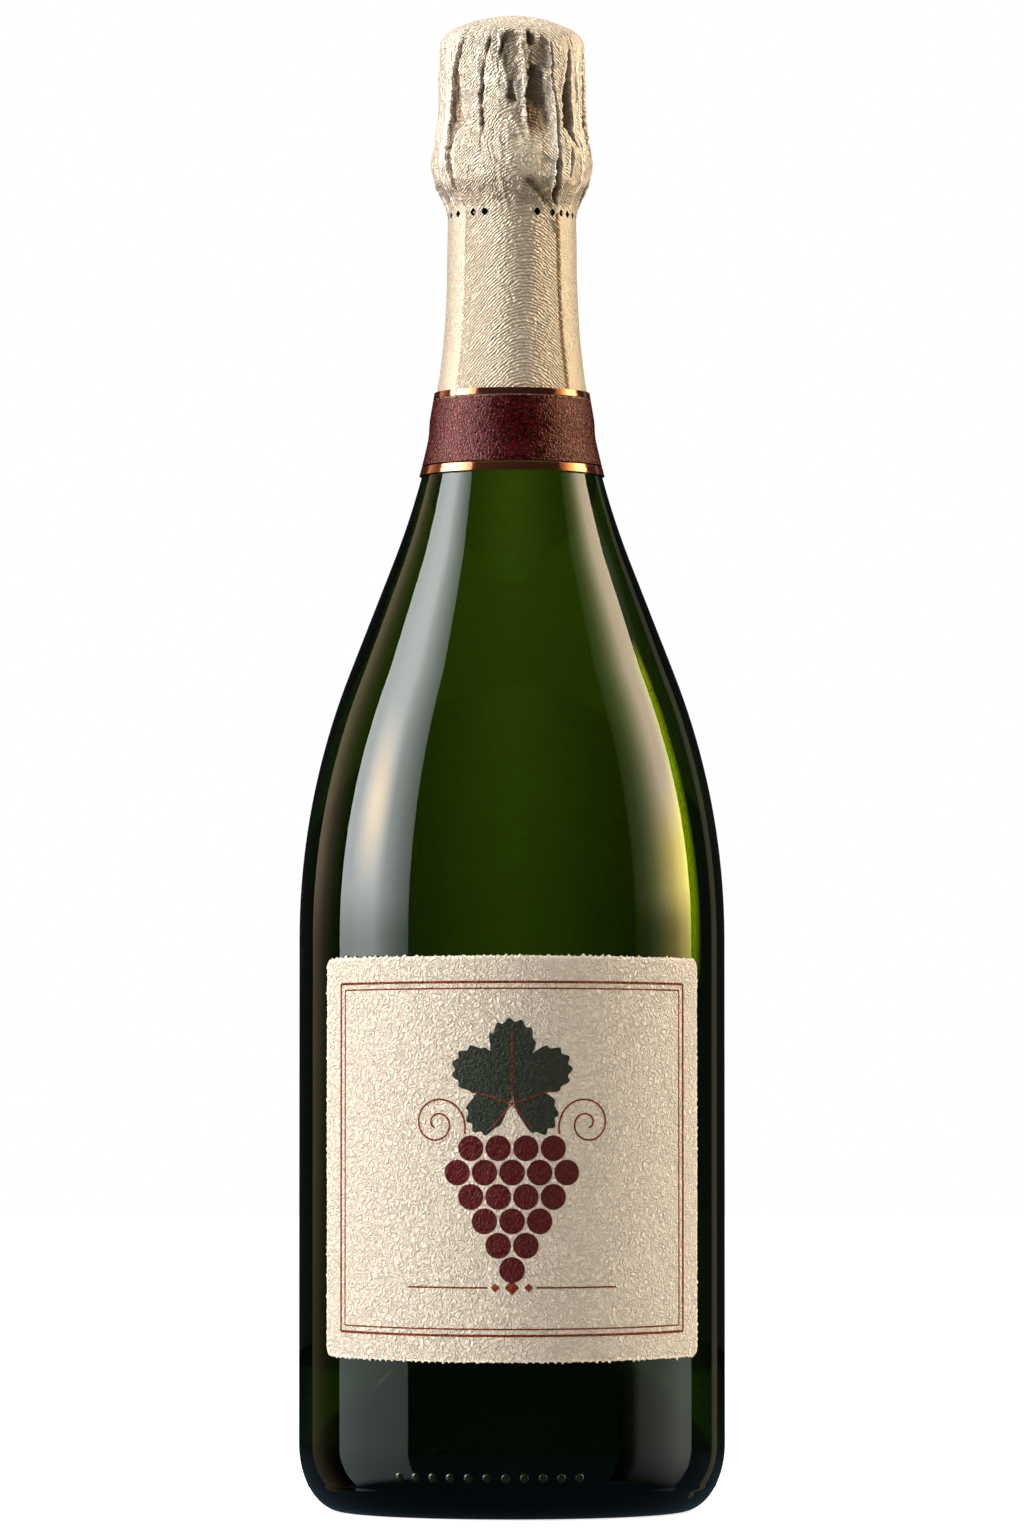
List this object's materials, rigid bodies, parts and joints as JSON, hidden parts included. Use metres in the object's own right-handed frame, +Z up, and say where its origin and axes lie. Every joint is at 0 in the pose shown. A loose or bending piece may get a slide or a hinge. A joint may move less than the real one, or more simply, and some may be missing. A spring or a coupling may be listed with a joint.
{
  "type": "sparkling wine bottle",
  "caption": "Sealed dark green sparkling wine bottle with punted base, mushroom cork, wire hood, pleated foil capsule, neck band and front label.",
  "frame": {"origin": "centre of the ring that the bottle stands on, at the floor", "axes": "+Z up along the bottle's axis, -Y out of the front label, +X to the right of someone who faces the label"},
  "size_m": [0.0886, 0.0892, 0.3119],
  "materials": {
    "green_glass": "polished, dark green, thick walled",
    "wine": "clear straw-coloured liquid, standing in as a solid",
    "agglomerate_cork": "matt, coarse cork granules",
    "natural_cork": "matt natural cork",
    "cap_tinplate": "plain champagne-gold lacquered tinplate",
    "hood_steel": "galvanised steel wire",
    "capsule_foil": "satin champagne-gold foil, finely embossed and pleated",
    "burgundy_paper": "burgundy paper with a leather-grain emboss",
    "copper_foil": "polished copper hot-stamped on paper",
    "label_paper": "uncoated cream felt paper with a deckled edge"
  },
  "bodies": {
    "bottle": {"glass_bottle": "green_glass", "wine": "wine", "capsule_skirt": "capsule_foil", "neck_band": "burgundy_paper", "neck_band_edge_upper": "copper_foil", "neck_band_edge_lower": "copper_foil", "front_label": "label_paper"},
    "cork": {"cork_body": "agglomerate_cork", "cork_disc_upper": "natural_cork", "cork_disc_lower": "natural_cork"},
    "hood": {"hood_cap": "cap_tinplate", "hood_cage": "hood_steel", "hood_belt": "hood_steel"},
    "capsule_top": {"capsule_crown": "capsule_foil"}
  },
  "joints": [
    {"name": "cork_pull", "type": "slide", "parent": "bottle", "child": "cork", "axis": [0, 0, 1], "range_m": [0, 0.06]},
    {"name": "hood_lift", "type": "slide", "parent": "cork", "child": "hood", "axis": [0, 0, 1], "range_m": [0, 0.045], "deforming": ["hood_cage", "hood_belt"]},
    {"name": "capsule_lift", "type": "slide", "parent": "hood", "child": "capsule_top", "axis": [0, 0, 1], "range_m": [0, 0.05], "deforming": ["capsule_crown"]}
  ]
}
